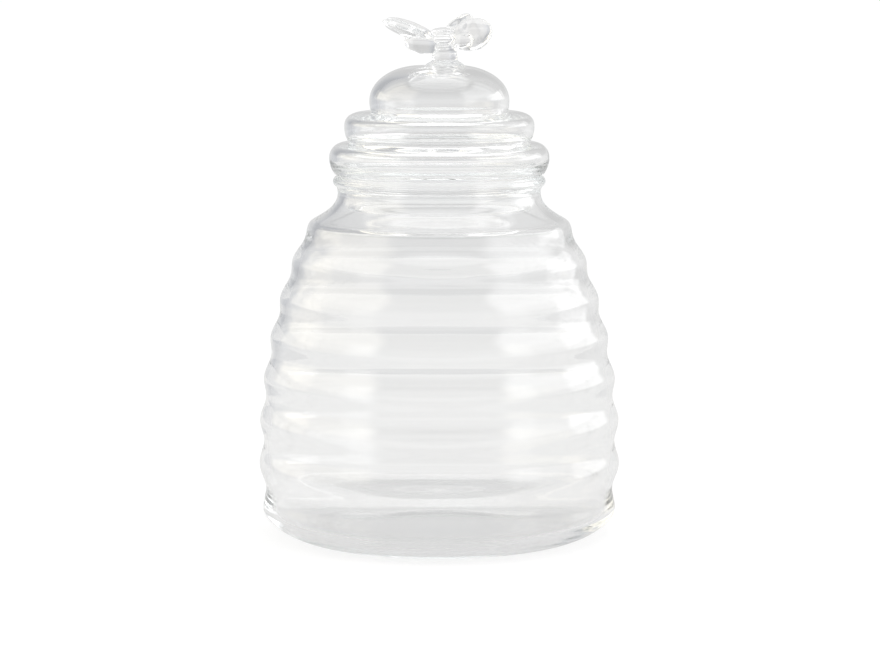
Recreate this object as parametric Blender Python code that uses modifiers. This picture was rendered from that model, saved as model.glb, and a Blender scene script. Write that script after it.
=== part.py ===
# Clear glass honey pot in the form of a beehive: a jar with rounded rings, and a loose hollow
# lid that carries on the rings and has a small glass bee on top.
# Lengths below are in millimetres and are turned into metres where a mesh is made.
# +Z is up, the origin is at the centre of the jar's base, and the bee's head points along +X.

import math

import bmesh
import bpy
from mathutils import Matrix, Quaternion, Vector

MM = 0.001
MERGE = 0.00001

# Jar body: rounded rings on a domed envelope
RING_COUNT = 8
FIRST_RING_HEIGHT = 6.1
LAST_RING_HEIGHT = 85.2
RING_TAPER = 0.27
ENVELOPE_RADIUS = 49.5
ENVELOPE_CENTRE_HEIGHT = 21.0
ENVELOPE_HALF_HEIGHT = 91.75
LOW_GROOVE_DEPTH = 1.4
HIGH_GROOVE_DEPTH = 0.93
LOWEST_RING_TUCK = 0.4
OUTER_STEPS_PER_RING = 6

# Jar foot and base
CONTACT_RADIUS = 40.0
FOOT_CURVE = 1.41
FOOT_STEPS = 5
PUNT_RADIUS = 31.0
PUNT_DEPTH = 5.0
PUNT_STEPS = 6

# Jar shoulder, neck and rolled lip
NECK_RADIUS = 27.6
NECK_HEIGHT = 92.9
SHOULDER_CURVE = 0.586
SHOULDER_STEPS = 6
LIP_RADIUS = 28.9
LIP_HEIGHT = 96.2
LIP_ROLL = 1.5
LIP_STEPS = 6
LIP_START_ANGLE = -70.0
LIP_END_ANGLE = 90.0
MOUTH_RADIUS = 25.5
MOUTH_BEVEL_WIDTH = 0.5
MOUTH_BEVEL_RISE = 0.8

# Jar inside
WALL = 2.2
INNER_GROOVE_SHARE = 0.7
INNER_STEPS_PER_RING = 3
INNER_SHOULDER_STEPS = 4
FLOOR_WALL = 2.6
FLOOR_RADIUS = 39.5
CORNER_HEIGHT = 7.2
CORNER_CURVE = 1.5
CORNER_STEPS = 4
CORNER_CLEARANCE = 1.0

# Lid: creases and crests of its dome and two rings, from the top down
SEAT_GAP = 0.3
DOME_TOP_RADIUS = 5.2
DOME_TOP_HEIGHT = 127.5
DOME_RADIUS = 19.0
DOME_HEIGHT = 118.0
DOME_CREASE_RADIUS = 18.5
DOME_CREASE_HEIGHT = 115.2
MIDDLE_RING_RADIUS = 25.8
MIDDLE_RING_HEIGHT = 111.2
MIDDLE_CREASE_RADIUS = 24.1
MIDDLE_CREASE_HEIGHT = 106.9
LOW_RING_RADIUS = 29.9
LOW_RING_HEIGHT = 102.2
SEAT_RADIUS = 28.0
DOME_CURVE = 2.0
CREASE_CURVE = 2.0
RING_TOP_CURVE = 2.5
RING_UNDER_CURVE = 2.2
SEAT_CURVE = 1.6
DOME_STEPS = 7
CREASE_STEPS = 2
RING_TOP_STEPS = 5
RING_UNDER_STEPS = 3

# Lid inside, and the flange that reaches down into the jar's neck
LID_WALL = 2.1
HOLLOW_STEPS = 3
HOLLOW_DOME_STEPS = 4
HOLLOW_ROUND = 1.2
FLANGE_RADIUS = 24.9
FLANGE_BOTTOM_HEIGHT = 87.5
FLANGE_ROUND = 0.8
FLANGE_RISE = 0.6

# Round segments
JAR_SEGMENTS = 40
LID_SEGMENTS = 32
STEM_SEGMENTS = 20

# Stem of the lid's knob, a little off the lid's axis as it was set by hand
STEM_OFFSET = 1.5
STEM_RADIUS = 3.2
STEM_TOP_HEIGHT = 133.0
STEM_BEAD_HEIGHT = 129.7
STEM_BEAD_RADIUS = 3.6
STEM_BEAD_HALF_HEIGHT = 0.85
STEM_FOOT_RADIUS = 5.7
STEM_FOOT_RISE = 0.8
STEM_ROOT_HEIGHT = 126.6

# Bee: each form runs from a root to a tip and has a half width, a half thickness, a roll about
# its length in degrees and the share of its width that is left at the root
BEE_FORMS = {
    "thorax": ((-2.8, 0.0, 134.2), (4.9, 0.0, 134.3), 4.0, 3.4, 0.0, 1.0),
    "abdomen": ((0.6, -0.8, 132.8), (-9.4, -0.8, 134.0), 3.4, 3.0, 0.0, 0.9),
    "head": ((3.9, -1.4, 133.9), (9.4, -2.6, 134.0), 2.1, 1.9, 0.0, 0.9),
    "rear_right_wing": ((-0.6, -1.4, 133.6), (-15.3, -5.4, 139.6), 3.6, 1.2, 24.0, 0.6),
    "rear_left_wing": ((-1.0, 1.4, 135.2), (-14.2, 5.4, 140.0), 3.6, 1.2, -14.0, 0.6),
    "front_right_wing": ((2.2, -1.0, 134.6), (14.4, -4.4, 136.6), 5.4, 1.4, 60.0, 0.75),
    "front_left_wing": ((0.8, 1.4, 135.4), (9.2, 4.6, 140.2), 4.2, 1.3, -46.0, 0.7),
}
BEE_SIDES = 16
BEE_ROWS = 8

# Clear glass with a faint cool tint
GLASS_TINT = (0.97, 0.985, 0.98)
GLASS_ROUGHNESS = 0.02
GLASS_IOR = 1.47
SHARP_ANGLE = 50.0


def clear_scene():
    for thing in list(bpy.data.objects):
        bpy.data.objects.remove(thing)


def ring_heights():
    """Heights of the jar's ring crests: their spacing shrinks steadily towards the top."""
    gaps = RING_COUNT - 1
    middle = (gaps - 1) / 2
    shares = [1 - RING_TAPER * (k - middle) / (gaps - 1) for k in range(gaps)]
    unit = (LAST_RING_HEIGHT - FIRST_RING_HEIGHT) / sum(shares)
    heights = [FIRST_RING_HEIGHT]
    for share in shares:
        heights.append(heights[-1] + share * unit)
    return heights


def envelope(height):
    """Radius that the crests of the rings reach at this height."""
    share = (height - ENVELOPE_CENTRE_HEIGHT) / ENVELOPE_HALF_HEIGHT
    return ENVELOPE_RADIUS * math.sqrt(1 - share * share)


def ringed_points(steps, groove_share):
    """(radius, height) pairs up the ringed wall, from the lowest crest to the highest."""
    heights = ring_heights()
    points = []
    for k in range(RING_COUNT - 1):
        for step in range(steps):
            part = step / steps
            height = heights[k] + (heights[k + 1] - heights[k]) * part
            along = (k + part) / (RING_COUNT - 1)
            depth = LOW_GROOVE_DEPTH + (HIGH_GROOVE_DEPTH - LOW_GROOVE_DEPTH) * along
            groove = depth * groove_share * (1 - math.cos(2 * math.pi * part)) / 2
            tuck = LOWEST_RING_TUCK * max(0.0, 1 - k - part)
            points.append((envelope(height) - tuck - groove, height))
    points.append((envelope(heights[-1]), heights[-1]))
    return points


def rounded_corner(start, end, curve, steps):
    """Points of a quarter superellipse that leaves start along the radius and reaches end upright."""
    points = []
    for step in range(steps + 1):
        angle = math.pi / 2 * step / steps
        across = math.sin(angle) ** (2 / curve)
        up = 1 - math.cos(angle) ** (2 / curve)
        radius = start[0] + (end[0] - start[0]) * across
        height = start[1] + (end[1] - start[1]) * up
        points.append((radius, height))
    return points


def back_along(start, end, curve, steps):
    """The same corner, taken from its upright end back to where it leaves along the radius."""
    return list(reversed(rounded_corner(start, end, curve, steps)))


def shoulder_points(steps):
    """From the highest ring's crest to the neck."""
    low_radius = envelope(LAST_RING_HEIGHT)
    points = []
    for step in range(1, steps + 1):
        part = step / steps
        ease = (1 - math.cos(math.pi * part ** SHOULDER_CURVE)) / 2
        radius = low_radius + (NECK_RADIUS - low_radius) * ease
        height = LAST_RING_HEIGHT + (NECK_HEIGHT - LAST_RING_HEIGHT) * part
        points.append((radius, height))
    return points


def lip_points():
    """Round the rolled lip, from below its outer side to its top."""
    centre = LIP_RADIUS - LIP_ROLL
    points = []
    for step in range(LIP_STEPS + 1):
        angle = math.radians(LIP_START_ANGLE + (LIP_END_ANGLE - LIP_START_ANGLE) * step / LIP_STEPS)
        radius = centre + LIP_ROLL * math.cos(angle)
        points.append((radius, LIP_HEIGHT + LIP_ROLL * math.sin(angle)))
    return points


def punt_points(lift):
    """From the axis out to the flat ring that the jar stands on: the base bends up in a low dome."""
    points = []
    for step in range(PUNT_STEPS + 1):
        part = step / PUNT_STEPS
        rise = PUNT_DEPTH * (1 + math.cos(math.pi * part)) / 2
        points.append((PUNT_RADIUS * part, lift + rise))
    return points


def inset(points, distance):
    """The points between the first and the last, moved inwards square to an outline that runs up."""
    moved = []
    for before, point, after in zip(points, points[1:], points[2:]):
        across = after[0] - before[0]
        up = after[1] - before[1]
        length = math.hypot(across, up)
        radius = point[0] - distance * up / length
        moved.append((radius, point[1] + distance * across / length))
    return moved


def jar_profile():
    """Closed outline of the jar's wall: up the inside, over the lip and down the outside."""
    foot_top = (envelope(FIRST_RING_HEIGHT) - LOWEST_RING_TUCK, FIRST_RING_HEIGHT)
    foot = rounded_corner((CONTACT_RADIUS, 0.0), foot_top, FOOT_CURVE, FOOT_STEPS)
    outside = foot[:-1] + ringed_points(OUTER_STEPS_PER_RING, 1.0)
    outside += shoulder_points(SHOULDER_STEPS) + lip_points()

    wall = ringed_points(INNER_STEPS_PER_RING, INNER_GROOVE_SHARE)
    wall += shoulder_points(INNER_SHOULDER_STEPS)
    wall = inset(wall + [(NECK_RADIUS, LIP_HEIGHT)], WALL)
    wall = [point for point in wall if point[1] > CORNER_HEIGHT + CORNER_CLEARANCE]
    corner_top = (envelope(CORNER_HEIGHT) - WALL - LOWEST_RING_TUCK, CORNER_HEIGHT)
    corner = rounded_corner((FLOOR_RADIUS, FLOOR_WALL), corner_top, CORNER_CURVE, CORNER_STEPS)
    inside = punt_points(FLOOR_WALL) + corner + wall
    inside.append((MOUTH_RADIUS, LIP_HEIGHT))
    inside.append((MOUTH_RADIUS + LIP_ROLL * MOUTH_BEVEL_WIDTH, LIP_HEIGHT + LIP_ROLL * MOUTH_BEVEL_RISE))
    return inside + list(reversed(outside)) + list(reversed(punt_points(0.0)))


def lid_profile():
    """Closed outline of the lid's wall: from the dome down the outside, then up the inside."""
    seat_height = LIP_HEIGHT + LIP_ROLL + SEAT_GAP
    dome_top = (DOME_TOP_RADIUS, DOME_TOP_HEIGHT)
    dome_crest = (DOME_RADIUS, DOME_HEIGHT)
    dome_crease = (DOME_CREASE_RADIUS, DOME_CREASE_HEIGHT)
    middle_crest = (MIDDLE_RING_RADIUS, MIDDLE_RING_HEIGHT)
    middle_crease = (MIDDLE_CREASE_RADIUS, MIDDLE_CREASE_HEIGHT)
    low_crest = (LOW_RING_RADIUS, LOW_RING_HEIGHT)
    seat = (SEAT_RADIUS, seat_height)
    outside = [(0.0, DOME_TOP_HEIGHT)]
    outside += rounded_corner(dome_top, dome_crest, DOME_CURVE, DOME_STEPS)
    outside += back_along(dome_crease, dome_crest, CREASE_CURVE, CREASE_STEPS)[1:]
    outside += rounded_corner(dome_crease, middle_crest, RING_TOP_CURVE, RING_TOP_STEPS)[1:]
    outside += back_along(middle_crease, middle_crest, RING_UNDER_CURVE, RING_UNDER_STEPS)[1:]
    outside += rounded_corner(middle_crease, low_crest, RING_TOP_CURVE, RING_TOP_STEPS)[1:]
    outside += back_along(seat, low_crest, SEAT_CURVE, RING_UNDER_STEPS)[1:]

    flange_inside = FLANGE_RADIUS - LID_WALL
    flange = [
        (FLANGE_RADIUS, seat_height),
        (FLANGE_RADIUS, FLANGE_BOTTOM_HEIGHT + FLANGE_ROUND),
        (FLANGE_RADIUS - FLANGE_ROUND, FLANGE_BOTTOM_HEIGHT),
        (flange_inside + FLANGE_ROUND, FLANGE_BOTTOM_HEIGHT),
        (flange_inside, FLANGE_BOTTOM_HEIGHT + FLANGE_ROUND),
        (flange_inside, seat_height + FLANGE_RISE),
    ]

    low_crest_in = (LOW_RING_RADIUS - LID_WALL, LOW_RING_HEIGHT)
    low_top_in = (MIDDLE_CREASE_RADIUS - LID_WALL, MIDDLE_CREASE_HEIGHT - LID_WALL)
    middle_low_in = (MIDDLE_CREASE_RADIUS - LID_WALL, MIDDLE_CREASE_HEIGHT + LID_WALL / 2)
    middle_crest_in = (MIDDLE_RING_RADIUS - LID_WALL, MIDDLE_RING_HEIGHT)
    middle_top_in = (DOME_CREASE_RADIUS - LID_WALL, DOME_CREASE_HEIGHT - LID_WALL)
    dome_crest_in = (DOME_RADIUS - LID_WALL, DOME_HEIGHT)
    dome_top_in = (DOME_TOP_RADIUS, DOME_TOP_HEIGHT - LID_WALL)
    inside = [(LOW_RING_RADIUS - LID_WALL - HOLLOW_ROUND, seat_height + LID_WALL)]
    inside += back_along(low_top_in, low_crest_in, RING_TOP_CURVE, HOLLOW_STEPS)
    inside += rounded_corner(middle_low_in, middle_crest_in, CREASE_CURVE, CREASE_STEPS)
    inside += back_along(middle_top_in, middle_crest_in, RING_TOP_CURVE, HOLLOW_STEPS)[1:]
    inside += back_along(dome_top_in, dome_crest_in, DOME_CURVE, HOLLOW_DOME_STEPS)
    inside.append((0.0, DOME_TOP_HEIGHT - LID_WALL))
    return outside + flange + inside


def stem_profile():
    """Outline of the solid stem, from its top inside the bee to its root inside the dome's wall."""
    return [
        (0.0, STEM_TOP_HEIGHT),
        (STEM_RADIUS, STEM_TOP_HEIGHT),
        (STEM_RADIUS, STEM_BEAD_HEIGHT + STEM_BEAD_HALF_HEIGHT),
        (STEM_BEAD_RADIUS, STEM_BEAD_HEIGHT),
        (STEM_RADIUS, STEM_BEAD_HEIGHT - STEM_BEAD_HALF_HEIGHT),
        (STEM_FOOT_RADIUS - STEM_FOOT_RISE, DOME_TOP_HEIGHT + STEM_FOOT_RISE / 2),
        (STEM_FOOT_RADIUS, DOME_TOP_HEIGHT - STEM_FOOT_RISE / 2),
        (STEM_FOOT_RADIUS, STEM_ROOT_HEIGHT),
        (0.0, STEM_ROOT_HEIGHT),
    ]


def glass(name):
    material = bpy.data.materials.new(name)
    material.use_nodes = True
    shader = material.node_tree.nodes["Principled BSDF"]
    shader.inputs["Base Color"].default_value = (*GLASS_TINT, 1.0)
    shader.inputs["Metallic"].default_value = 0.0
    shader.inputs["Roughness"].default_value = GLASS_ROUGHNESS
    shader.inputs["IOR"].default_value = GLASS_IOR
    shader.inputs["Transmission Weight"].default_value = 1.0
    return material


def turned(name, profile, segments, collection):
    """A profile at +X swept once round Z with a Screw modifier."""
    mesh = bpy.data.meshes.new(name)
    points = [(radius * MM, 0.0, height * MM) for radius, height in profile]
    edges = [(k, k + 1) for k in range(len(points) - 1)]
    mesh.from_pydata(points, edges, [])
    piece = bpy.data.objects.new(name, mesh)
    collection.objects.link(piece)
    screw = piece.modifiers.new("Turn", "SCREW")
    screw.axis = "Z"
    screw.angle = math.tau
    screw.steps = segments
    screw.render_steps = segments
    screw.use_merge_vertices = True
    screw.merge_threshold = MERGE
    screw.use_smooth_shade = True
    return piece


def drop(name, root, tip, half_width, half_thickness, roll, root_share, collection):
    """A rounded form from root to tip, narrower at its root, as drawn from a hot glass rod."""
    length = Vector(tip) - Vector(root)
    mesh = bpy.data.meshes.new(name)
    form = bmesh.new()
    bmesh.ops.create_uvsphere(form, u_segments=BEE_SIDES, v_segments=BEE_ROWS, radius=1.0)
    on_its_side = Matrix.Rotation(math.pi / 2, 3, "Y")
    for vertex in form.verts:
        spot = on_its_side @ vertex.co
        along = (spot.x + 1) / 2
        width = half_width * (root_share + (1 - root_share) * math.sin(math.pi / 2 * along))
        vertex.co = Vector((spot.x * length.length / 2, spot.y * width, spot.z * half_thickness)) * MM
    form.to_mesh(mesh)
    form.free()
    piece = bpy.data.objects.new(name, mesh)
    piece.location = (Vector(root) + Vector(tip)) / 2 * MM
    facing = length.to_track_quat("X", "Z") @ Quaternion((1.0, 0.0, 0.0), math.radians(roll))
    piece.rotation_euler = facing.to_euler()
    collection.objects.link(piece)
    return piece


def join_forms(piece, forms):
    """One Boolean union of the piece with the collection's forms, applied, and the forms removed."""
    union = piece.modifiers.new("Join", "BOOLEAN")
    union.operation = "UNION"
    union.operand_type = "COLLECTION"
    union.collection = forms
    union.solver = "EXACT"
    graph = bpy.context.evaluated_depsgraph_get()
    joined = bpy.data.meshes.new_from_object(piece.evaluated_get(graph))
    piece.modifiers.clear()
    piece.data = joined
    for form in list(forms.objects):
        bpy.data.objects.remove(form)
    bpy.data.collections.remove(forms)
    joined.shade_smooth()
    joined.set_sharp_from_angle(angle=math.radians(SHARP_ANGLE))


def main():
    clear_scene()
    pot = bpy.data.collections.new("honey_pot")
    bpy.context.scene.collection.children.link(pot)
    bee = bpy.data.collections.new("bee_forms")
    bpy.context.scene.collection.children.link(bee)

    jar = turned("jar", jar_profile(), JAR_SEGMENTS, pot)
    jar.data.materials.append(glass("jar_glass"))

    lid = turned("lid", lid_profile(), LID_SEGMENTS, pot)
    stem = turned("stem", stem_profile(), STEM_SEGMENTS, bee)
    stem.location.x = STEM_OFFSET * MM
    for name, form in BEE_FORMS.items():
        drop(name, *form, bee)
    join_forms(lid, bee)
    lid.data.materials.clear()
    lid.data.materials.append(glass("lid_glass"))


main()
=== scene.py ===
import math

import bmesh
import bpy
from mathutils import Matrix, Quaternion, Vector


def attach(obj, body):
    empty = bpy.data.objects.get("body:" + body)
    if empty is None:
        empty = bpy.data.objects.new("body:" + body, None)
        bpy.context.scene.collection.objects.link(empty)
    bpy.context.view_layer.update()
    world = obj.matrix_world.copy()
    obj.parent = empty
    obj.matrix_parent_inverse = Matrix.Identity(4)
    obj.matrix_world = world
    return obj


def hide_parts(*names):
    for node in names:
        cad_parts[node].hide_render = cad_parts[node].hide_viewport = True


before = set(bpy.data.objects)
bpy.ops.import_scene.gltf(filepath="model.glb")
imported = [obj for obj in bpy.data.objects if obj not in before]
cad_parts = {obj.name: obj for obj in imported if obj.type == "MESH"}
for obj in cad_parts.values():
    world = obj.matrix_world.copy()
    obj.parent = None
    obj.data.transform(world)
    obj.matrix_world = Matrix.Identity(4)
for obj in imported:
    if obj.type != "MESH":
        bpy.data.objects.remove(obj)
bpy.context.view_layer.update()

MM = 0.001
WELD = 0.000002

# Jar body: rounded rings on a domed envelope, in millimetres as all sizes below
RING_COUNT = 8
FIRST_RING_HEIGHT = 6.1
LAST_RING_HEIGHT = 85.2
RING_TAPER = 0.27
ENVELOPE_RADIUS = 49.5
ENVELOPE_CENTRE_HEIGHT = 21.0
ENVELOPE_HALF_HEIGHT = 91.75
LOW_GROOVE_DEPTH = 1.4
HIGH_GROOVE_DEPTH = 0.93
LOWEST_RING_TUCK = 0.4
CONTACT_RADIUS = 40.0
FOOT_CURVE = 1.41
PUNT_RADIUS = 31.0
PUNT_DEPTH = 5.0
NECK_RADIUS = 27.6
NECK_HEIGHT = 92.9
SHOULDER_CURVE = 0.586
LIP_RADIUS = 28.9
LIP_HEIGHT = 96.2
LIP_ROLL = 1.5
MOUTH_RADIUS = 25.5
JAR_WALL = 2.2
INNER_GROOVE_SHARE = 0.7
FLOOR_WALL = 2.6
FLOOR_EDGE_RADIUS = 44.0
FLOOR_BLEND = 12.0
FLOOR_REACH = 12.0
LIP_INNER_ROLL = 1.2
LIP_INNER_RISE = 0.2
NECK_FLARE = 0.12
NECK_FLARE_HEIGHT = 1.3
JAR_AROUND = 200

# Lid: dome, two rings, and the flange that reaches down into the neck
SEAT_GAP = 0.3
DOME_TOP_RADIUS = 5.2
DOME_TOP_HEIGHT = 127.5
DOME_RADIUS = 19.0
DOME_HEIGHT = 118.0
DOME_CREASE_RADIUS = 18.5
DOME_CREASE_HEIGHT = 115.2
MIDDLE_RING_RADIUS = 25.8
MIDDLE_RING_HEIGHT = 111.2
MIDDLE_CREASE_RADIUS = 24.1
MIDDLE_CREASE_HEIGHT = 106.9
LOW_RING_RADIUS = 29.9
LOW_RING_HEIGHT = 102.2
SEAT_RADIUS = 28.0
DOME_CURVE = 2.0
CREASE_CURVE = 2.0
RING_TOP_CURVE = 2.5
RING_UNDER_CURVE = 2.2
SEAT_CURVE = 1.6
LID_WALL = 2.1
HOLLOW_CURVE = 1.8
FLANGE_RADIUS = 24.9
FLANGE_BOTTOM_HEIGHT = 87.5
FLANGE_ROUND = 0.8
FLANGE_RISE = 0.6
FLANGE_FILLET = 0.3
FLANGE_INNER_START = 0.6
SEAT_FLAT = 1.2
LID_AROUND = 192

# Stem and bee
STEM_OFFSET = 1.5
STEM_RADIUS = 3.2
STEM_TOP_HEIGHT = 133.0
STEM_BEAD_HEIGHT = 129.7
STEM_BEAD_RADIUS = 3.6
STEM_BEAD_HALF_HEIGHT = 0.85
STEM_FOOT_RADIUS = 5.7
STEM_FOOT_RISE = 0.8
STEM_ROOT_HEIGHT = 126.6
STEM_AROUND = 64
KNOB_VOXEL = 0.19
KNOB_RELAX = 0.5
KNOB_RELAX_ROUNDS = 22

# Bee, one row for each hot-drawn form: start, end, half its width, half its thickness, its roll in degrees,
# the width of its start as a share, then how many grooves are pressed across it and how deep
BEE_FORMS = (
    # thorax, three rolls one above another
    ((-2.4, 0.0, 132.2), (4.5, 0.0, 132.2), 3.7, 1.1, 0.0, 1.0),
    ((-2.8, 0.0, 134.4), (4.9, 0.0, 134.5), 4.0, 1.45, 0.0, 1.0),
    ((-2.3, 0.0, 136.5), (4.3, 0.0, 136.6), 3.5, 1.1, 0.0, 1.0),
    # abdomen, then head
    ((0.6, -0.8, 132.8), (-9.4, -0.8, 134.0), 3.4, 3.0, 0.0, 0.9, 3, 0.1),
    ((3.9, -1.4, 133.9), (9.4, -2.6, 134.0), 2.1, 1.9, 0.0, 0.9),
    # rear wings, then front wings, each time the one on the photographed side first
    ((-0.6, -1.4, 133.6), (-15.3, -5.4, 139.6), 3.6, 1.2, 24.0, 0.6),
    ((-1.0, 1.4, 135.2), (-14.2, 5.4, 140.0), 3.6, 1.2, -14.0, 0.6),
    ((2.2, -1.0, 134.6), (14.4, -4.4, 136.6), 5.4, 1.4, 60.0, 0.75, 2, 0.3),
    ((0.8, 1.4, 135.4), (9.2, 4.6, 140.2), 4.2, 1.3, -46.0, 0.7, 2, 0.25),
)

# Spacing along an outline: while it is melted, and afterwards on ringed and plain stretches and round bends
MELT_STEP = 0.12
RINGED_STEP = 0.6
PLAIN_STEP = 0.95
TURN_STEP = 0.13
JAR_MELT = 60
LID_MELT = 14

# Which face of the wall a stretch of outline belongs to
OUTSIDE = 0.0
INSIDE = 1.0

# Waviness of the blown walls, in metres; at the foot it grows over WAVE_FADE millimetres, after a start of
# WAVE_FADE_START times as many. The noise is taken from its middle and stretched to about -1 to 1.
JAR_WAVE_HEIGHT = 0.00010
JAR_WAVE_LENGTH = 0.026
LID_WAVE_HEIGHT = 0.00004
LID_WAVE_LENGTH = 0.016
WAVE_DRIFT = 0.003
WAVE_FADE = 4.0
WAVE_FADE_START = 0.3
NOISE_MIDDLE = 0.5
NOISE_STRETCH = 4.0

# Glass: its index, what it absorbs, its streaks of tint, its smudges and the fine ripples in its surface;
# JAR_SHIFT and LID_SHIFT move the noise, so that the two pieces differ
GLASS_INDEX = 1.47
GLASS_ABSORBED = (0.90, 0.95, 0.955)
GLASS_DENSITY = 4.0
STREAK_TINTS = ((0.994, 0.997, 0.997), (1.0, 1.0, 1.0))
STREAK_EDGES = (0.35, 0.65)
STREAK_SCALE = 45.0
SMUDGE_EDGES = (0.45, 0.75)
SMUDGE_ROUGHNESS = 0.06
SMUDGE_SCALE = 120.0
SMUDGE_SHIFT = 4.0
RIPPLE_STRENGTH = 0.08
RIPPLE_HEIGHT = 0.00012
RIPPLE_SCALE = 180.0
RIPPLE_SHIFT = 9.0
JAR_SHIFT = 1.0
LID_SHIFT = 2.0
BOUNCES = 80
CLEAR_BOUNCES = 8

# Floor in metres; its glow, which the glass gets, runs from a brighter front to a dimmer level from under
# the pot backwards, the dimming under the pot being a painted shadow, and the camera sees another one
FLOOR_RADIUS = 0.62
FLOOR_DROP = 0.0002
FLOOR_GREY = 0.2
FLOOR_ROUGHNESS = 0.9
FLOOR_FRONT = -0.20
FLOOR_BACK = 0.0
FLOOR_GLOW_FRONT = 0.74
FLOOR_GLOW_PAINTED_SHADOW_BACK = 0.62
FLOOR_SEEN = 0.84

# Brightness of the backdrop where the camera sees it; the glass gets the room's light and the panels
BACKDROP_SEEN = 1.02
ROOM_LIGHT = 0.26

# Light around the pot: (azimuth from, to, its softness, elevation from, to, its softness, red, green, blue)
# Azimuth 0 lies behind the pot and 90 to its right; each panel is added to the room's even light.
PANELS = (
    (-60, 60, 6, 2, 60, 8, 0.20, 0.20, 0.20),
    (-60, -14, 12, -60, 60, 10, 0.00, 0.01, 0.03),
    (-18, 60, 14, -60, 60, 10, 0.15, 0.15, 0.15),
    (20, 60, 14, -60, 60, 10, 0.08, 0.08, 0.08),
    (-60, 60, 10, -6.4, -4.6, 0.6, 0.06, 0.06, 0.06),
    (-180, 180, 1, -95, 3, 10, 0.35, 0.35, 0.35),
    (60, 133, 14, 2, 55, 6, 0.9, 0.9, 0.9),
    (60, 133, 14, 18, 55, 10, 0.9, 0.9, 0.9),
    (-133, -60, 14, 2, 55, 6, 0.76, 0.71, 0.60),
    (-133, -60, 14, 18, 55, 10, 0.76, 0.73, 0.64),
    (112, 200, 10, -2, 20, 10, 0.60, 0.60, 0.60),
    (-200, -112, 10, -2, 20, 10, 0.60, 0.60, 0.60),
    (44, 84, 8, 3, 20, 5, 1.5, 1.5, 1.5),
    (-84, -44, 8, 3, 20, 5, 0.8, 0.74, 0.60),
    (-180, 180, 1, 60, 95, 6, 1.7, 1.7, 1.7),
)

# Camera, in metres and degrees
CAMERA_LENS = 108.1
CAMERA_PLACE = (0.0002, -0.718, 0.146)
CAMERA_DIP = 7.2


def ring_height(ring):
    """Height of a point that lies this many rings up, whole numbers being crests."""
    gaps = RING_COUNT - 1
    unit = (LAST_RING_HEIGHT - FIRST_RING_HEIGHT) / gaps
    lean = RING_TAPER / (gaps - 1)
    return FIRST_RING_HEIGHT + unit * (ring * (1 + lean * gaps / 2) - lean * ring * ring / 2)


def envelope(height):
    share = (height - ENVELOPE_CENTRE_HEIGHT) / ENVELOPE_HALF_HEIGHT
    return ENVELOPE_RADIUS * math.sqrt(1 - share * share)


def rounded_corner(start, end, curve, steps):
    """A quarter superellipse that leaves start along the radius and reaches end upright."""
    points = []
    for step in range(steps + 1):
        angle = math.pi / 2 * step / steps
        across = math.sin(angle) ** (2 / curve)
        up = 1 - max(0.0, math.cos(angle)) ** (2 / curve)
        points.append((start[0] + (end[0] - start[0]) * across, start[1] + (end[1] - start[1]) * up))
    return points


def back_along(start, end, curve, steps):
    return list(reversed(rounded_corner(start, end, curve, steps)))


def line(start, end, steps):
    """Evenly spaced points from start towards end, without the end."""
    return [
        (start[0] + (end[0] - start[0]) * k / steps, start[1] + (end[1] - start[1]) * k / steps)
        for k in range(steps)
    ]


def round_turn(centre, radius, first, last, steps):
    points = []
    for step in range(steps + 1):
        angle = math.radians(first + (last - first) * step / steps)
        points.append((centre[0] + radius * math.cos(angle), centre[1] + radius * math.sin(angle)))
    return points


def flowed_points(points, rounds):
    """The same curve with close, even points and its corners flowed round."""
    close = []
    for start, end in zip(points, points[1:]):
        steps = max(1, round(math.dist(start, end) / MELT_STEP))
        close += line(start, end, steps)
    close.append(points[-1])
    for _ in range(rounds):
        middle = [
            tuple((close[k - 1][side] + 2 * close[k][side] + close[k + 1][side]) / 4 for side in (0, 1))
            for k in range(1, len(close) - 1)
        ]
        close = [close[0]] + middle + [close[-1]]
    return close


def parallel(points, distance):
    """The curve this far to the left of the points' direction, with its loops cut off."""
    kept = []
    for k, point in enumerate(points):
        before = points[max(0, k - 1)]
        after = points[min(len(points) - 1, k + 1)]
        along = (after[0] - before[0], after[1] - before[1])
        length = math.hypot(*along)
        moved = (point[0] - along[1] / length * distance, point[1] + along[0] / length * distance)
        if moved[0] < 0:
            continue
        nearest = min(math.hypot(moved[0] - other[0], moved[1] - other[1]) for other in points)
        if nearest > distance * 0.995:
            kept.append(moved)
    return kept


class Outline:
    """A wall's outline, with what the ring tree reads at each point."""

    def __init__(self):
        self.points = []
        self.ring = []
        self.share = []
        self.side = []
        self.free = []

    def add(self, points, side, free=1.0, rings=None, share=0.0):
        for k, point in enumerate(points):
            self.points.append(point)
            self.ring.append(rings[k] if rings else 0.0)
            self.share.append(share)
            self.side.append(side)
            self.free.append(free)


def eased(outline):
    """The same outline with points only as close as its bends need."""
    kept = Outline()
    travelled = turned = 0.0
    spots = outline.points
    for k, spot in enumerate(spots):
        ends = k in (0, len(spots) - 1)
        if not ends:
            before, after = spots[k - 1], spots[k + 1]
            heading = math.atan2(after[1] - spot[1], after[0] - spot[0])
            earlier = math.atan2(spot[1] - before[1], spot[0] - before[0])
            turned += abs(math.remainder(heading - earlier, math.tau))
            travelled += math.dist(spot, before)
        reach = RINGED_STEP if outline.share[k] > 0 else PLAIN_STEP
        if ends or travelled >= reach or turned >= TURN_STEP:
            kept.add([spot], outline.side[k], outline.free[k], [outline.ring[k]], outline.share[k])
            travelled = turned = 0.0
    return kept


def ringed_wall(steps):
    """The plain envelope up the ringed wall, before its grooves are sunk."""
    points = []
    for k in range((RING_COUNT - 1) * steps + 1):
        ring = k / steps
        height = ring_height(ring)
        tuck = LOWEST_RING_TUCK * max(0.0, 1 - ring)
        points.append((envelope(height) - tuck, height))
    return points


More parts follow.
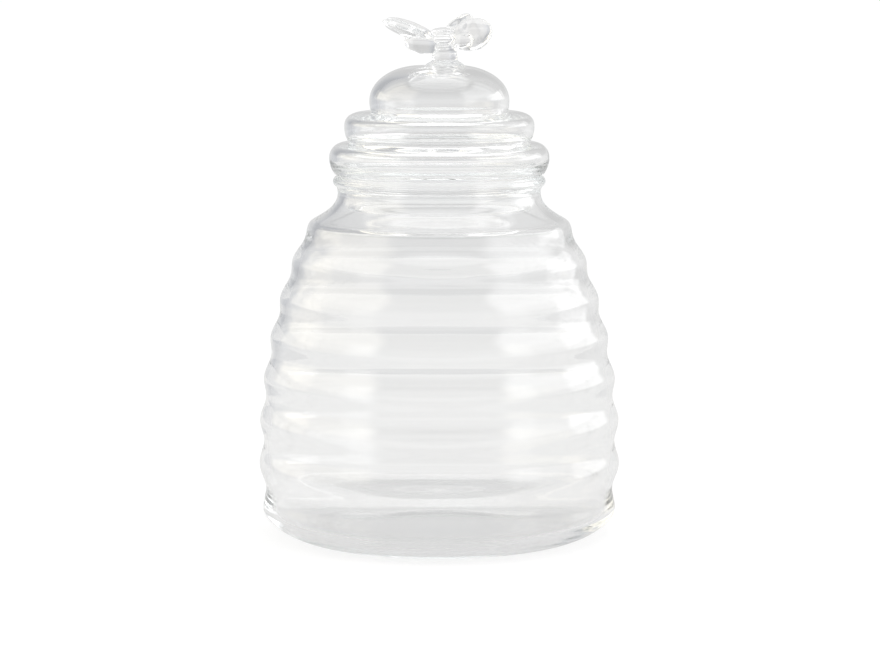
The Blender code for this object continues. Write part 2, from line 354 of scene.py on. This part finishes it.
def shoulder(steps):
    """From the highest ring's crest in to the neck."""
    low_radius = envelope(LAST_RING_HEIGHT)
    points = []
    for step in range(1, steps + 1):
        part = step / steps
        ease = (1 - math.cos(math.pi * part ** SHOULDER_CURVE)) / 2
        radius = low_radius + (NECK_RADIUS - low_radius) * ease
        points.append((radius, LAST_RING_HEIGHT + (NECK_HEIGHT - LAST_RING_HEIGHT) * part))
    return points


def punt(radius):
    """Height of the pushed-up middle of the base at this radius."""
    return PUNT_DEPTH * (1 + math.cos(math.pi * min(1.0, radius / PUNT_RADIUS))) / 2


def foot_points(steps):
    """The rounded foot from the lowest crest down to the ring that the pot stands on."""
    foot_top = (envelope(FIRST_RING_HEIGHT) - LOWEST_RING_TUCK, FIRST_RING_HEIGHT)
    return back_along((CONTACT_RADIUS, 0.0), foot_top, FOOT_CURVE, steps)


def base_points(steps):
    """Under the base, from the ring that the pot stands on to the axis."""
    points = line((CONTACT_RADIUS, 0.0), (PUNT_RADIUS, 0.0), steps=8)
    for k in range(steps + 1):
        radius = PUNT_RADIUS * (1 - k / steps)
        points.append((radius, punt(radius)))
    return points


def ring_at(height):
    """How many rings up this height lies, whole numbers being crests."""
    low, high = 0.0, RING_COUNT - 1.0
    for _ in range(30):
        middle = (low + high) / 2
        low, high = (middle, high) if ring_height(middle) < height else (low, middle)
    return low


def jar_outline():
    """Up the inside from the floor's centre, over the lip, down the outside and under the base."""
    made = Outline()
    outside = foot_points(steps=20)[::-1] + ringed_wall(steps=10)[1:] + shoulder(steps=16)
    outside = flowed_points(base_points(steps=40)[:0:-1] + outside, JAR_MELT)
    inside = flowed_points(parallel(outside, JAR_WALL), JAR_MELT)
    for radius, height in inside:
        floor_share = max(0.0, min(1.0, (FLOOR_EDGE_RADIUS - radius) / FLOOR_BLEND))
        lift = (FLOOR_WALL - JAR_WALL) * floor_share if height < FLOOR_REACH else 0.0
        ringed = FIRST_RING_HEIGHT < height < LAST_RING_HEIGHT and radius > PUNT_RADIUS
        rings = [ring_at(height) if ringed else 0.0]
        made.add([(radius, height + lift)], INSIDE, 1.0, rings, INNER_GROOVE_SHARE if ringed else 0.0)
    made.add([(MOUTH_RADIUS, LIP_HEIGHT - LIP_INNER_ROLL)], INSIDE, free=0.3)
    inner_centre = (MOUTH_RADIUS + LIP_INNER_ROLL, LIP_HEIGHT + LIP_INNER_RISE)
    made.add(round_turn(inner_centre, LIP_INNER_ROLL, first=180, last=100, steps=6), INSIDE, free=0.2)
    outer_centre = (LIP_RADIUS - LIP_ROLL, LIP_HEIGHT)
    made.add(round_turn(outer_centre, LIP_ROLL, first=88, last=-62, steps=14), OUTSIDE, free=0.2)
    under_lip = (NECK_RADIUS + NECK_FLARE, NECK_HEIGHT + NECK_FLARE_HEIGHT)
    made.add(line(under_lip, (NECK_RADIUS, NECK_HEIGHT), steps=3), OUTSIDE, free=0.6)
    for radius, height in outside[::-1]:
        ringed = FIRST_RING_HEIGHT < height < LAST_RING_HEIGHT
        free = max(0.0, min(1.0, height / WAVE_FADE - WAVE_FADE_START))
        rings = [ring_at(height) if ringed else 0.0]
        made.add([(radius, height)], OUTSIDE, free, rings, 1.0 if ringed else 0.0)
    return made


def lid_outline():
    """Down the outside from the dome's top, round the flange and up the inside."""
    seat_height = LIP_HEIGHT + LIP_ROLL + SEAT_GAP
    dome_top = (DOME_TOP_RADIUS, DOME_TOP_HEIGHT)
    dome_crest = (DOME_RADIUS, DOME_HEIGHT)
    dome_crease = (DOME_CREASE_RADIUS, DOME_CREASE_HEIGHT)
    middle_crest = (MIDDLE_RING_RADIUS, MIDDLE_RING_HEIGHT)
    middle_crease = (MIDDLE_CREASE_RADIUS, MIDDLE_CREASE_HEIGHT)
    low_crest = (LOW_RING_RADIUS, LOW_RING_HEIGHT)
    seat = (SEAT_RADIUS, seat_height)
    made = Outline()
    outside = line((0.0, DOME_TOP_HEIGHT), dome_top, steps=8)
    outside += rounded_corner(dome_top, dome_crest, DOME_CURVE, steps=60)
    outside += back_along(dome_crease, dome_crest, CREASE_CURVE, steps=12)[1:]
    outside += rounded_corner(dome_crease, middle_crest, RING_TOP_CURVE, steps=40)[1:]
    outside += back_along(middle_crease, middle_crest, RING_UNDER_CURVE, steps=30)[1:]
    outside += rounded_corner(middle_crease, low_crest, RING_TOP_CURVE, steps=40)[1:]
    outside = flowed_points(outside, LID_MELT)
    made.add(outside, OUTSIDE)
    made.add(back_along(seat, low_crest, SEAT_CURVE, steps=12)[1:], OUTSIDE, free=0.5)

    flange_in = FLANGE_RADIUS - LID_WALL
    low = FLANGE_BOTTOM_HEIGHT + FLANGE_ROUND
    seat_start = (FLANGE_RADIUS + SEAT_FLAT, seat_height)
    made.add(line(seat_start, (FLANGE_RADIUS + FLANGE_FILLET, seat_height), steps=2), OUTSIDE, free=0.2)
    flange_top = (FLANGE_RADIUS, seat_height - FLANGE_FILLET)
    made.add(line(flange_top, (FLANGE_RADIUS, low), steps=8), OUTSIDE, free=0.4)
    outer_centre = (FLANGE_RADIUS - FLANGE_ROUND, low)
    made.add(round_turn(outer_centre, FLANGE_ROUND, first=0, last=-90, steps=6), OUTSIDE, free=0.4)
    inner_centre = (flange_in + FLANGE_ROUND, low)
    made.add(round_turn(inner_centre, FLANGE_ROUND, first=-90, last=-180, steps=6), INSIDE, free=0.4)
    hollow_start = (flange_in, seat_height + FLANGE_RISE)
    made.add(line((flange_in, low + FLANGE_INNER_START), hollow_start, steps=8), INSIDE, free=0.6)

    low_crest_in = (LOW_RING_RADIUS - LID_WALL, LOW_RING_HEIGHT)
    made.add(rounded_corner(hollow_start, low_crest_in, HOLLOW_CURVE, steps=10), INSIDE)
    hollow = [point for point in parallel(outside, -LID_WALL) if point[1] > LOW_RING_HEIGHT]
    hollow = flowed_points(hollow, LID_MELT)
    made.add(hollow[::-1], INSIDE)
    made.add([(0.0, DOME_TOP_HEIGHT - LID_WALL)], INSIDE)
    return made


def outline_object(name, outline):
    """The outline as a mesh of edges at +X, with its numbers as attributes."""
    mesh = bpy.data.meshes.new(name)
    spots = [(radius * MM, 0.0, height * MM) for radius, height in outline.points]
    mesh.from_pydata(spots, [(k, k + 1) for k in range(len(spots) - 1)], [])
    for label in ("ring", "share", "side", "free"):
        layer = mesh.attributes.new(label, "FLOAT", "POINT")
        layer.data.foreach_set("value", getattr(outline, label))
    made = bpy.data.objects.new(name, mesh)
    bpy.context.scene.collection.objects.link(made)
    return made


def turned_glass_tree():
    """Sweeps an outline round Z, sinks the grooves between its rings and adds the glass's waviness."""
    tree = bpy.data.node_groups.new("turned_ringed_glass", "GeometryNodeTree")
    face = tree.interface
    face.new_socket("Outline", in_out="INPUT", socket_type="NodeSocketGeometry")
    sizes = {}
    for name, kind in (
        ("Segments around", "NodeSocketInt"),
        ("Groove depth at the lowest ring", "NodeSocketFloat"),
        ("Groove depth at the highest ring", "NodeSocketFloat"),
        ("Ring gaps", "NodeSocketFloat"),
        ("Waviness height", "NodeSocketFloat"),
        ("Waviness length", "NodeSocketFloat"),
        ("Waviness drift", "NodeSocketFloat"),
        ("Weld distance", "NodeSocketFloat"),
        ("Glass", "NodeSocketMaterial"),
    ):
        sizes[name] = face.new_socket(name, in_out="INPUT", socket_type=kind).identifier
    face.new_socket("Wall", in_out="OUTPUT", socket_type="NodeSocketGeometry")
    nodes, links = tree.nodes, tree.links
    given = nodes.new("NodeGroupInput")

    def wire(value, socket):
        if isinstance(value, (int, float)):
            socket.default_value = value
        else:
            links.new(value, socket)

    def maths(operation, first, second=None):
        node = nodes.new("ShaderNodeMath")
        node.operation = operation
        for k, value in enumerate((first, second)):
            if value is not None:
                wire(value, node.inputs[k])
        return node.outputs[0]

    def attribute(name):
        node = nodes.new("GeometryNodeInputNamedAttribute")
        node.data_type = "FLOAT"
        node.inputs["Name"].default_value = name
        return node.outputs["Attribute"]

    size = nodes.new("GeometryNodeAttributeDomainSize")
    links.new(given.outputs["Outline"], size.inputs[0])
    count = size.outputs["Point Count"]
    grid = nodes.new("GeometryNodeMeshGrid")
    wire(maths("ADD", given.outputs["Segments around"], 1), grid.inputs["Vertices X"])
    wire(count, grid.inputs["Vertices Y"])
    index = nodes.new("GeometryNodeInputIndex").outputs[0]
    column = maths("FLOOR", maths("DIVIDE", maths("ADD", index, 0.5), count))
    row = maths("SUBTRACT", index, maths("MULTIPLY", column, count))
    turn = maths("MULTIPLY", maths("DIVIDE", column, given.outputs["Segments around"]), math.tau)

    def sampled(value, kind="FLOAT"):
        node = nodes.new("GeometryNodeSampleIndex")
        node.data_type = kind
        node.domain = "POINT"
        links.new(given.outputs["Outline"], node.inputs["Geometry"])
        links.new(value, node.inputs["Value"])
        links.new(row, node.inputs["Index"])
        return node.outputs[0]

    place = nodes.new("ShaderNodeSeparateXYZ")
    links.new(sampled(nodes.new("GeometryNodeInputPosition").outputs[0], "FLOAT_VECTOR"), place.inputs[0])
    ring = sampled(attribute("ring"))
    up_part = maths("DIVIDE", ring, given.outputs["Ring gaps"])
    low_depth = given.outputs["Groove depth at the lowest ring"]
    high_depth = given.outputs["Groove depth at the highest ring"]
    depth = maths("ADD", low_depth, maths("MULTIPLY", up_part, maths("SUBTRACT", high_depth, low_depth)))
    wave = maths("MULTIPLY", maths("SUBTRACT", 1.0, maths("COSINE", maths("MULTIPLY", ring, math.tau))), 0.5)
    groove = maths("MULTIPLY", maths("MULTIPLY", wave, depth), sampled(attribute("share")))
    radius = maths("SUBTRACT", place.outputs["X"], groove)
    spot = nodes.new("ShaderNodeCombineXYZ")
    wire(maths("MULTIPLY", radius, maths("COSINE", turn)), spot.inputs["X"])
    wire(maths("MULTIPLY", radius, maths("SINE", turn)), spot.inputs["Y"])
    wire(place.outputs["Z"], spot.inputs["Z"])

    kept = grid.outputs["Mesh"]
    for label in ("side", "free"):
        store = nodes.new("GeometryNodeStoreNamedAttribute")
        store.data_type = "FLOAT"
        store.domain = "POINT"
        store.inputs["Name"].default_value = label
        links.new(kept, store.inputs["Geometry"])
        links.new(sampled(attribute(label)), store.inputs["Value"])
        kept = store.outputs["Geometry"]
    sweep = nodes.new("GeometryNodeSetPosition")
    links.new(kept, sweep.inputs["Geometry"])
    links.new(spot.outputs[0], sweep.inputs["Position"])
    weld = nodes.new("GeometryNodeMergeByDistance")
    links.new(sweep.outputs[0], weld.inputs["Geometry"])
    links.new(given.outputs["Weld distance"], weld.inputs["Distance"])

    shift = nodes.new("ShaderNodeCombineXYZ")
    wire(maths("MULTIPLY", attribute("side"), given.outputs["Waviness drift"]), shift.inputs["Z"])
    spread = nodes.new("ShaderNodeVectorMath")
    spread.operation = "ADD"
    links.new(nodes.new("GeometryNodeInputPosition").outputs[0], spread.inputs[0])
    links.new(shift.outputs[0], spread.inputs[1])
    noise = nodes.new("ShaderNodeTexNoise")
    noise.noise_dimensions = "3D"
    noise.inputs["Detail"].default_value = 1.0
    noise.inputs["Roughness"].default_value = 0.4
    links.new(spread.outputs[0], noise.inputs["Vector"])
    wire(maths("DIVIDE", 1.0, given.outputs["Waviness length"]), noise.inputs["Scale"])
    swing = maths("MULTIPLY", maths("SUBTRACT", noise.outputs["Fac"], NOISE_MIDDLE), NOISE_STRETCH)
    swing = maths("MULTIPLY", maths("MULTIPLY", swing, given.outputs["Waviness height"]), attribute("free"))
    swing = maths("MULTIPLY", swing, maths("SUBTRACT", 1.0, maths("MULTIPLY", attribute("side"), 2.0)))
    along = nodes.new("ShaderNodeVectorMath")
    along.operation = "SCALE"
    links.new(nodes.new("GeometryNodeInputNormal").outputs[0], along.inputs[0])
    wire(swing, along.inputs["Scale"])
    waver = nodes.new("GeometryNodeSetPosition")
    links.new(weld.outputs[0], waver.inputs["Geometry"])
    links.new(along.outputs[0], waver.inputs["Offset"])

    smooth = nodes.new("GeometryNodeSetShadeSmooth")
    links.new(waver.outputs[0], smooth.inputs["Geometry"])
    real = nodes.new("GeometryNodeRealizeInstances")
    links.new(smooth.outputs[0], real.inputs[0])
    finish = nodes.new("GeometryNodeSetMaterial")
    links.new(real.outputs[0], finish.inputs["Geometry"])
    links.new(given.outputs["Glass"], finish.inputs["Material"])
    out = nodes.new("NodeGroupOutput")
    links.new(finish.outputs[0], out.inputs[0])
    return tree, sizes


def turned_glass(name, outline, glass, tree, sizes, values):
    """The swept wall as a plain mesh whose faces point outwards."""
    guide = outline_object(name + "_outline", outline)
    turn = guide.modifiers.new("Turn", "NODES")
    turn.node_group = tree
    for label, value in values.items():
        turn[sizes[label]] = value
    turn[sizes["Glass"]] = glass
    graph = bpy.context.evaluated_depsgraph_get()
    mesh = bpy.data.meshes.new_from_object(guide.evaluated_get(graph))
    mesh.name = name
    bpy.data.objects.remove(guide)
    made = bpy.data.objects.new(name, mesh)
    bpy.context.scene.collection.objects.link(made)
    point_outwards(mesh)
    return made


def point_outwards(mesh):
    form = bmesh.new()
    form.from_mesh(mesh)
    bmesh.ops.recalc_face_normals(form, faces=form.faces)
    if form.calc_volume(signed=True) < 0:
        bmesh.ops.reverse_faces(form, faces=form.faces)
    form.to_mesh(mesh)
    form.free()
    mesh.shade_smooth()


def drop_form(root, tip, half_width, half_thickness, roll, root_share, crimps=0, crimp_depth=0.0):
    """Points and faces of one hot-drawn form; crimps are the pressed grooves across it."""
    length = Vector(tip) - Vector(root)
    form = bmesh.new()
    bmesh.ops.create_uvsphere(form, u_segments=64, v_segments=48, radius=1.0)
    on_its_side = Matrix.Rotation(math.pi / 2, 3, "Y")
    facing = length.to_track_quat("X", "Z") @ Quaternion((1.0, 0.0, 0.0), math.radians(roll))
    middle = (Vector(root) + Vector(tip)) / 2
    for vertex in form.verts:
        spot = on_its_side @ vertex.co
        along = (spot.x + 1) / 2
        width = half_width * (root_share + (1 - root_share) * math.sin(math.pi / 2 * along))
        press = 1.0
        if crimps:
            groove = (1 + math.cos(2 * math.pi * crimps * along)) / 2
            press -= crimp_depth * groove * math.sin(math.pi * along)
        shaped = Vector((spot.x * length.length / 2, spot.y * width, spot.z * half_thickness * press))
        vertex.co = (middle + facing @ shaped) * MM
    return form


def stem_form():
    """The turned stem with its bead and its flared foot, set off the axis."""
    points = [
        (0.0, STEM_TOP_HEIGHT),
        (STEM_RADIUS, STEM_TOP_HEIGHT),
        (STEM_RADIUS, STEM_BEAD_HEIGHT + STEM_BEAD_HALF_HEIGHT),
        (STEM_BEAD_RADIUS, STEM_BEAD_HEIGHT),
        (STEM_RADIUS, STEM_BEAD_HEIGHT - STEM_BEAD_HALF_HEIGHT),
        (STEM_FOOT_RADIUS - STEM_FOOT_RISE, DOME_TOP_HEIGHT + STEM_FOOT_RISE / 2),
        (STEM_FOOT_RADIUS, DOME_TOP_HEIGHT - STEM_FOOT_RISE / 2),
        (STEM_FOOT_RADIUS, STEM_ROOT_HEIGHT),
        (0.0, STEM_ROOT_HEIGHT),
    ]
    form = bmesh.new()
    verts = [form.verts.new((radius * MM, 0.0, height * MM)) for radius, height in points]
    edges = [form.edges.new(pair) for pair in zip(verts, verts[1:])]
    bmesh.ops.spin(
        form, geom=verts + edges, cent=(0, 0, 0), axis=(0, 0, 1), angle=math.tau, steps=STEM_AROUND,
        use_merge=True,
    )
    bmesh.ops.remove_doubles(form, verts=form.verts, dist=WELD)
    bmesh.ops.recalc_face_normals(form, faces=form.faces)
    bmesh.ops.translate(form, verts=form.verts, vec=(STEM_OFFSET * MM, 0.0, 0.0))
    return form


def knob():
    """Stem and bee melted into one form."""
    forms = [stem_form()] + [drop_form(*sizes) for sizes in BEE_FORMS]
    mesh = bpy.data.meshes.new("knob")
    whole = bmesh.new()
    for form in forms:
        part = bpy.data.meshes.new("form")
        form.to_mesh(part)
        form.free()
        whole.from_mesh(part)
        bpy.data.meshes.remove(part)
    whole.to_mesh(mesh)
    whole.free()
    made = bpy.data.objects.new("knob", mesh)
    bpy.context.scene.collection.objects.link(made)
    melt = made.modifiers.new("Melt", "REMESH")
    melt.mode = "VOXEL"
    melt.voxel_size = KNOB_VOXEL * MM
    relax = made.modifiers.new("Relax", "SMOOTH")
    relax.factor = KNOB_RELAX
    relax.iterations = KNOB_RELAX_ROUNDS
    graph = bpy.context.evaluated_depsgraph_get()
    melted = bpy.data.meshes.new_from_object(made.evaluated_get(graph))
    made.modifiers.clear()
    made.data = melted
    return made


def fuse(wall, form):
    """One Boolean union, applied, and the other form removed."""
    union = wall.modifiers.new("Fuse", "BOOLEAN")
    union.operation = "UNION"
    union.solver = "MANIFOLD"
    union.object = form
    graph = bpy.context.evaluated_depsgraph_get()
    fused = bpy.data.meshes.new_from_object(wall.evaluated_get(graph))
    wall.modifiers.clear()
    wall.data = fused
    bpy.data.objects.remove(form)
    fused.shade_smooth()


def clear_glass(name, own_shift):
    """Clear blown glass: tint streaks, a trace of smudging, fine ripples and a tinted body."""
    material = bpy.data.materials.new(name)
    material.use_nodes = True
    nodes, links = material.node_tree.nodes, material.node_tree.links
    shader = nodes["Principled BSDF"]
    shader.inputs["Transmission Weight"].default_value = 1.0
    shader.inputs["IOR"].default_value = GLASS_INDEX
    place = nodes.new("ShaderNodeTexCoord")

    def noise(scale, detail, shift):
        moved = nodes.new("ShaderNodeMapping")
        moved.inputs["Location"].default_value = (shift, shift * 0.7, shift * 1.3)
        links.new(place.outputs["Object"], moved.inputs["Vector"])
        grain = nodes.new("ShaderNodeTexNoise")
        grain.inputs["Scale"].default_value = scale
        grain.inputs["Detail"].default_value = detail
        links.new(moved.outputs[0], grain.inputs["Vector"])
        return grain.outputs["Fac"]

    streaks = nodes.new("ShaderNodeValToRGB")
    for element, edge, tint in zip(streaks.color_ramp.elements, STREAK_EDGES, STREAK_TINTS):
        element.position = edge
        element.color = (*tint, 1.0)
    links.new(noise(STREAK_SCALE, 2.0, own_shift), streaks.inputs["Fac"])
    links.new(streaks.outputs["Color"], shader.inputs["Base Color"])

    smudges = nodes.new("ShaderNodeMapRange")
    smudges.inputs["From Min"].default_value = SMUDGE_EDGES[0]
    smudges.inputs["From Max"].default_value = SMUDGE_EDGES[1]
    smudges.inputs["To Min"].default_value = 0.0
    smudges.inputs["To Max"].default_value = SMUDGE_ROUGHNESS
    links.new(noise(SMUDGE_SCALE, 3.0, own_shift + SMUDGE_SHIFT), smudges.inputs["Value"])
    links.new(smudges.outputs["Result"], shader.inputs["Roughness"])

    ripples = nodes.new("ShaderNodeBump")
    ripples.inputs["Strength"].default_value = RIPPLE_STRENGTH
    ripples.inputs["Distance"].default_value = RIPPLE_HEIGHT
    links.new(noise(RIPPLE_SCALE, 1.0, own_shift + RIPPLE_SHIFT), ripples.inputs["Height"])
    links.new(ripples.outputs["Normal"], shader.inputs["Normal"])

    body = nodes.new("ShaderNodeVolumeAbsorption")
    body.inputs["Color"].default_value = (*GLASS_ABSORBED, 1.0)
    body.inputs["Density"].default_value = GLASS_DENSITY
    links.new(body.outputs[0], nodes["Material Output"].inputs["Volume"])
    return material


def pale_floor():
    """A round pale floor that glows a little, under the pot; its glow dims towards the pot as a painted
    shadow.
    """
    bpy.ops.mesh.primitive_circle_add(vertices=96, radius=FLOOR_RADIUS, fill_type="NGON", location=(0, 0, 0))
    floor = bpy.context.object
    floor.name = "floor"
    floor.data.transform(Matrix.Translation((0.0, 0.0, -FLOOR_DROP)))
    material = bpy.data.materials.new("floor_white")
    material.use_nodes = True
    nodes, links = material.node_tree.nodes, material.node_tree.links
    shader = nodes["Principled BSDF"]
    shader.inputs["Base Color"].default_value = (FLOOR_GREY, FLOOR_GREY, FLOOR_GREY, 1.0)
    shader.inputs["Roughness"].default_value = FLOOR_ROUGHNESS
    shader.inputs["Specular IOR Level"].default_value = 0.0
    shader.inputs["Emission Color"].default_value = (1.0, 1.0, 1.0, 1.0)
    place = nodes.new("ShaderNodeTexCoord")
    parts = nodes.new("ShaderNodeSeparateXYZ")
    links.new(place.outputs["Object"], parts.inputs[0])
    # painted shadow: the glow the glass sees drops from the front level to a dimmer one under the pot and
    # behind it
    glow = nodes.new("ShaderNodeMapRange")
    glow.interpolation_type = "SMOOTHSTEP"
    links.new(parts.outputs["Y"], glow.inputs["Value"])
    glow.inputs["From Min"].default_value = FLOOR_FRONT
    glow.inputs["From Max"].default_value = FLOOR_BACK
    glow.inputs["To Min"].default_value = FLOOR_GLOW_FRONT
    glow.inputs["To Max"].default_value = FLOOR_GLOW_PAINTED_SHADOW_BACK
    ray = nodes.new("ShaderNodeLightPath")
    seen = nodes.new("ShaderNodeMix")
    links.new(ray.outputs["Is Camera Ray"], seen.inputs[0])
    links.new(glow.outputs[0], seen.inputs[2])
    seen.inputs[3].default_value = FLOOR_SEEN
    links.new(seen.outputs[0], shader.inputs["Emission Strength"])
    floor.data.materials.append(material)


def studio():
    """White backdrop behind, a soft panel on each side and one above, and a dimmer room in front."""
    world = bpy.data.worlds.new("studio")
    bpy.context.scene.world = world
    world.use_nodes = True
    nodes, links = world.node_tree.nodes, world.node_tree.links
    place = nodes.new("ShaderNodeTexCoord")
    parts = nodes.new("ShaderNodeSeparateXYZ")
    links.new(place.outputs["Generated"], parts.inputs[0])

    def maths(operation, first, second=None):
        node = nodes.new("ShaderNodeMath")
        node.operation = operation
        for k, value in enumerate((first, second)):
            if isinstance(value, (int, float)):
                node.inputs[k].default_value = value
            elif value is not None:
                links.new(value, node.inputs[k])
        return node.outputs[0]

    def edge(value, low, high):
        """Rises softly from 0 to 1 between low and high."""
        node = nodes.new("ShaderNodeMapRange")
        node.interpolation_type = "SMOOTHSTEP"
        node.inputs["From Min"].default_value = low
        node.inputs["From Max"].default_value = high
        links.new(value, node.inputs["Value"])
        return node.outputs[0]

    around = maths("DEGREES", maths("ARCTAN2", parts.outputs["X"], parts.outputs["Y"]))
    above = maths("DEGREES", maths("ARCSINE", parts.outputs["Z"]))
    total = None
    for left, right, soft, low, high, fade, *colour in PANELS:
        shares = [edge(above, low - fade / 2, low + fade / 2)]
        shares.append(maths("SUBTRACT", 1.0, edge(above, high - fade / 2, high + fade / 2)))
        if right - left < 360:
            shares.append(edge(around, left - soft / 2, left + soft / 2))
            shares.append(maths("SUBTRACT", 1.0, edge(around, right - soft / 2, right + soft / 2)))
        share = shares[0]
        for other in shares[1:]:
            share = maths("MULTIPLY", share, other)
        glow = nodes.new("ShaderNodeVectorMath")
        glow.operation = "SCALE"
        glow.inputs[0].default_value = colour
        links.new(share, glow.inputs["Scale"])
        if total is None:
            total = glow.outputs[0]
            continue
        added = nodes.new("ShaderNodeVectorMath")
        added.operation = "ADD"
        links.new(total, added.inputs[0])
        links.new(glow.outputs[0], added.inputs[1])
        total = added.outputs[0]
    room = nodes.new("ShaderNodeVectorMath")
    room.operation = "ADD"
    links.new(total, room.inputs[0])
    room.inputs[1].default_value = (ROOM_LIGHT, ROOM_LIGHT, ROOM_LIGHT)

    ray = nodes.new("ShaderNodeLightPath")
    seen = nodes.new("ShaderNodeMix")
    seen.data_type = "RGBA"
    links.new(ray.outputs["Is Camera Ray"], seen.inputs[0])
    links.new(room.outputs[0], seen.inputs[6])
    seen.inputs[7].default_value = (BACKDROP_SEEN, BACKDROP_SEEN, BACKDROP_SEEN, 1.0)
    links.new(seen.outputs[2], nodes["Background"].inputs["Color"])
    nodes["Background"].inputs["Strength"].default_value = 1.0


def camera():
    """The photograph's view: level with the top of the bee and tilted down a little."""
    data = bpy.data.cameras.new("camera")
    data.sensor_width = 36.0
    data.lens = CAMERA_LENS
    data.clip_start = 0.01
    data.clip_end = 50.0
    view = bpy.data.objects.new("camera", data)
    view.location = CAMERA_PLACE
    view.rotation_euler = (math.radians(90.0 - CAMERA_DIP), 0.0, 0.0)
    bpy.context.scene.collection.objects.link(view)
    bpy.context.scene.camera = view


def main():
    jar_glass = clear_glass("jar_glass", JAR_SHIFT)
    lid_glass = clear_glass("lid_glass", LID_SHIFT)
    tree, sizes = turned_glass_tree()
    common = {
        "Groove depth at the lowest ring": LOW_GROOVE_DEPTH * MM,
        "Groove depth at the highest ring": HIGH_GROOVE_DEPTH * MM,
        "Ring gaps": float(RING_COUNT - 1),
        "Waviness drift": WAVE_DRIFT,
        "Weld distance": WELD,
    }
    jar = turned_glass(
        "jar_blown", eased(jar_outline()), jar_glass, tree, sizes,
        {
            **common, "Segments around": JAR_AROUND, "Waviness height": JAR_WAVE_HEIGHT,
            "Waviness length": JAR_WAVE_LENGTH,
        },
    )
    lid = turned_glass(
        "lid_blown", eased(lid_outline()), lid_glass, tree, sizes,
        {
            **common, "Segments around": LID_AROUND, "Waviness height": LID_WAVE_HEIGHT,
            "Waviness length": LID_WAVE_LENGTH,
        },
    )
    fuse(lid, knob())
    lid.data.materials.clear()
    lid.data.materials.append(lid_glass)
    for piece, node, slot in ((jar, "jar", "jar_glass"), (lid, "lid", "lid_glass")):
        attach(piece, "root")
        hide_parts(node)

    pale_floor()
    studio()
    camera()
    scene = bpy.context.scene
    scene.view_settings.view_transform = "Standard"
    scene.view_settings.look = "None"
    scene.cycles.max_bounces = BOUNCES
    scene.cycles.transmission_bounces = BOUNCES
    scene.cycles.glossy_bounces = BOUNCES
    scene.cycles.transparent_max_bounces = CLEAR_BOUNCES


main()
